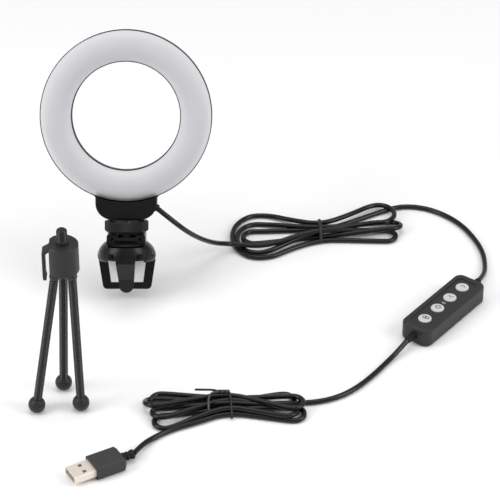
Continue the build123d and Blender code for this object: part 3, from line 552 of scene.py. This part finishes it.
def ribbed_leg(number):
    """A bendy leg's sleeve: close round ribs from the tripod's base to the foot ball."""
    joint = next(j for j in frame["joints"] if j["name"] == "leg_%d_bend" % number)
    root = Vector(joint["pos_m"])
    low, high = (Vector(corner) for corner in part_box("tripod_foot_%d" % number))
    foot = Vector(((low.x + high.x) / 2, (low.y + high.y) / 2, high.z - (high.x - low.x) / 2))
    axis = foot - root
    length = axis.length - LEG_START - LEG_END_GAP
    count = int(length / LEG_RIB_PITCH)
    sides = 28
    rings = []
    for turn in range(-75, 31, 15):
        rings.append((LEG_BALL_R * sin(radians(turn)), [LEG_BALL_R * cos(radians(turn))] * sides))
    for i in range(count):
        for share in RIB_SHARES:
            bulge = sin(pi * share) ** 0.6
            radius = LEG_R - LEG_RIB_DEPTH * (1 - bulge)
            rings.append((LEG_START + (i + share) * LEG_RIB_PITCH, [radius] * sides))
    rings.append((LEG_START + count * LEG_RIB_PITCH, [LEG_R - LEG_RIB_DEPTH] * sides))
    leg = turned_mesh("ribbed_leg_%d" % number, rings, sides, root, axis.normalized())
    return dress(leg, "leg_black", "leg_%d" % number, "tripod_leg_%d" % number)


# Distance out from the moulding and radius there, in mm.
PLUG_RELIEF = [(-0.6, 2.4), (0.5, 2.4), (0.8, 2.75), (2.1, 2.75), (2.3, 2.05), (3.0, 2.05),
               (3.2, 2.6), (4.3, 2.6), (4.5, 2.0), (5.2, 2.0), (5.4, 2.45), (6.1, 2.45),
               (6.3, 2.8), (7.6, 2.8), (8.0, 2.5), (8.05, 1.7)]


def plug_relief():
    """The plug's bend relief: rings with deep grooves between them and a collar at the lead's end."""
    low, high = (Vector(corner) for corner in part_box("plug_strain_relief"))
    back = Vector((-cos(PLUG_TURN), -sin(PLUG_TURN), 0))
    centre = (low + high) / 2
    reach = PLUG_RELIEF[-1][0] * MM
    sides = 32
    rings = [(height * MM, [radius * MM] * sides) for height, radius in PLUG_RELIEF]
    relief = turned_mesh("plug_relief", rings, sides, centre - back * reach / 2, back)
    return dress(relief, "soft_rubber", "head", "plug_strain_relief")


SCREW_R = 3.175 * MM
SCREW_CHAMFER = 0.8 * MM
THREAD_PITCH = 1.27 * MM
THREAD_DEPTH = 0.55 * MM
THREAD_STEPS = 60
COLLAR_ROOT = 2 * MM                           # how far the collar reaches into the head
COLLAR_BEVEL = 0.3 * MM
COLLAR_SHARE = 0.29                            # of the screw's height over the head, taken by its collar


def threaded_screw():
    """The tripod's screw: plain collar, then a cut thread up to a chamfered end."""
    low, high = (Vector(corner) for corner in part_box("tripod_screw"))
    head_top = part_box("tripod_head")[1][2]
    centre = Vector(((low.x + high.x) / 2, (low.y + high.y) / 2, 0))
    collar_r = (high.x - low.x) / 2
    collar_top = head_top + COLLAR_SHARE * (high.z - head_top)
    sides = 40
    rings = [(head_top - COLLAR_ROOT, [collar_r] * sides), (head_top, [collar_r] * sides),
             (collar_top - COLLAR_BEVEL, [collar_r] * sides),
             (collar_top, [collar_r - COLLAR_BEVEL] * sides)]
    for i in range(THREAD_STEPS + 1):
        height = collar_top + (high.z - collar_top) * i / THREAD_STEPS
        to_end = (high.z - height) / SCREW_CHAMFER
        limit = SCREW_R - max(0.0, 1 - to_end) * SCREW_CHAMFER
        radii = []
        for k in range(sides):
            phase = (height / THREAD_PITCH - k / sides) % 1.0
            cut = THREAD_DEPTH * abs(2 * phase - 1)
            radii.append(min(SCREW_R - cut, limit))
        rings.append((height, radii))
    screw = turned_mesh("threaded_screw", rings, sides, centre, Vector((0, 0, 1)))
    return dress(screw, "black_steel", "tripod", "tripod_screw")


# ---------------------------------------------------------------- symbols on the buttons

INK = 0.03 * MM
STROKE = 0.6 * MM
SYMBOL_RISE = 0.9 * MM                         # the marks stand above the middle of the buttons


def ribbon(mesh_builder, points, closed=False):
    """A flat stroke of even width through points in the button's plane, an ink's thickness proud."""
    count = len(points)
    rows = []
    for i, point in enumerate(points):
        before = points[(i - 1) % count] if closed or i else point
        after = points[(i + 1) % count] if closed or i < count - 1 else point
        along = (Vector(after) - Vector(before)).normalized()
        side = Vector((-along.y, along.x)) * STROKE / 2
        row = []
        for sign, height in ((-1, 0), (1, 0), (1, INK), (-1, INK)):
            row.append(mesh_builder.verts.new((point[0] + sign * side.x, point[1] + sign * side.y, height)))
        rows.append(row)
    pairs = list(zip(rows, rows[1:])) + ([(rows[-1], rows[0])] if closed else [])
    for a, b in pairs:
        for k in range(4):
            j = (k + 1) % 4
            mesh_builder.faces.new((a[k], a[j], b[j], b[k]))
    if not closed:
        mesh_builder.faces.new(rows[0])
        mesh_builder.faces.new(list(reversed(rows[-1])))


def arc(centre, radius, start, end, count=20):
    """Points along a round stroke; start and end are in degrees."""
    turns = [radians(start + (end - start) * i / count) for i in range(count + 1)]
    return [(centre[0] + radius * cos(t), centre[1] + radius * sin(t)) for t in turns]


def symbol_strokes(number):
    """Generic marks: 1 two colours, 2 power, 3 dimmer, 4 brighter. Each is a list of strokes."""
    if number == 1:
        return [(arc((side * 0.9 * MM, 0), 1.1 * MM, 0, 342, 18), True) for side in (-1, 1)]
    if number == 2:
        return [(arc((0, 0), 1.5 * MM, 130, 410), False), ([(0, 0.3 * MM), (0, 2.0 * MM)], False)]
    rise = -0.9 * MM if number == 3 else 0.9 * MM
    return [([(-1.6 * MM, -rise), (0, rise), (1.6 * MM, -rise)], False)]


def button_symbol(number):
    """The mark on one button, turned with the controller."""
    low, high = (Vector(corner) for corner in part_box("button_%d" % number))
    mesh_builder = bmesh.new()
    for points, closed in symbol_strokes(number):
        ribbon(mesh_builder, points, closed)
    bmesh.ops.recalc_face_normals(mesh_builder, faces=mesh_builder.faces)
    centre = Vector(((low.x + high.x) / 2, (low.y + high.y) / 2, high.z))
    lift = Matrix.Translation((0, SYMBOL_RISE, 0))
    upright = Matrix.Rotation(CONTROLLER_TURN - pi / 2, 4, "Z")
    mesh_builder.transform(Matrix.Translation(centre) @ upright @ lift)
    mesh = bpy.data.meshes.new("symbol_%d" % number)
    mesh_builder.to_mesh(mesh)
    mesh_builder.free()
    symbol = bpy.data.objects.new("symbol_%d" % number, mesh)
    bpy.context.scene.collection.objects.link(symbol)
    return dress(symbol, "symbol_grey", "button_%d" % number)


# ---------------------------------------------------------------- the whole

make_camera()
make_stage()
finish_nodes()

upper_route = LEAD_1 + ACROSS_1 + hank_points(LOOSE_HANK) + OUT_1 + LEAD_2
upper_lead = rope_curve("upper_lead", upper_route, CORD_R)
dress(upper_lead, "cord_black", "head", "cord_lead_1", "cord_hank_1", "cord_lead_2")
lower_lead = rope_curve("lower_lead", LEAD_3 + hank_points(TIGHT_HANK) + LEAD_4, CORD_R)
dress(lower_lead, "cord_black", "head", "cord_lead_3", "cord_hank_2", "cord_lead_4")

loose_tie = closed_band("loose_tie", x=120.6, back=71.2, front=56.4, top=9.0, radius=BAND_R, lean=-0.8)
dress(loose_tie, "tie_black", "head", "cord_tie_1")
tight_tie = closed_band("tight_tie", x=64.9, back=-105.2, front=-122.6, top=7.6, radius=WIRE_R, lean=-1.4)
dress(tight_tie, "tie_black", "head", "cord_tie_2")
tight_tie_strip = rope_curve("tight_tie_strip", twist(0) + STRIP_TAIL, WIRE_R)
dress(tight_tie_strip, "tie_grey", "head")
tight_tie_loose = rope_curve("tight_tie_loose", twist(pi) + LOOSE_TAIL, WIRE_R)
dress(tight_tie_loose, "tie_black", "head")

for leg_number in (1, 2, 3):
    ribbed_leg(leg_number)
threaded_screw()
relief = plug_relief()
symbols = [button_symbol(number) for number in (1, 2, 3, 4)]
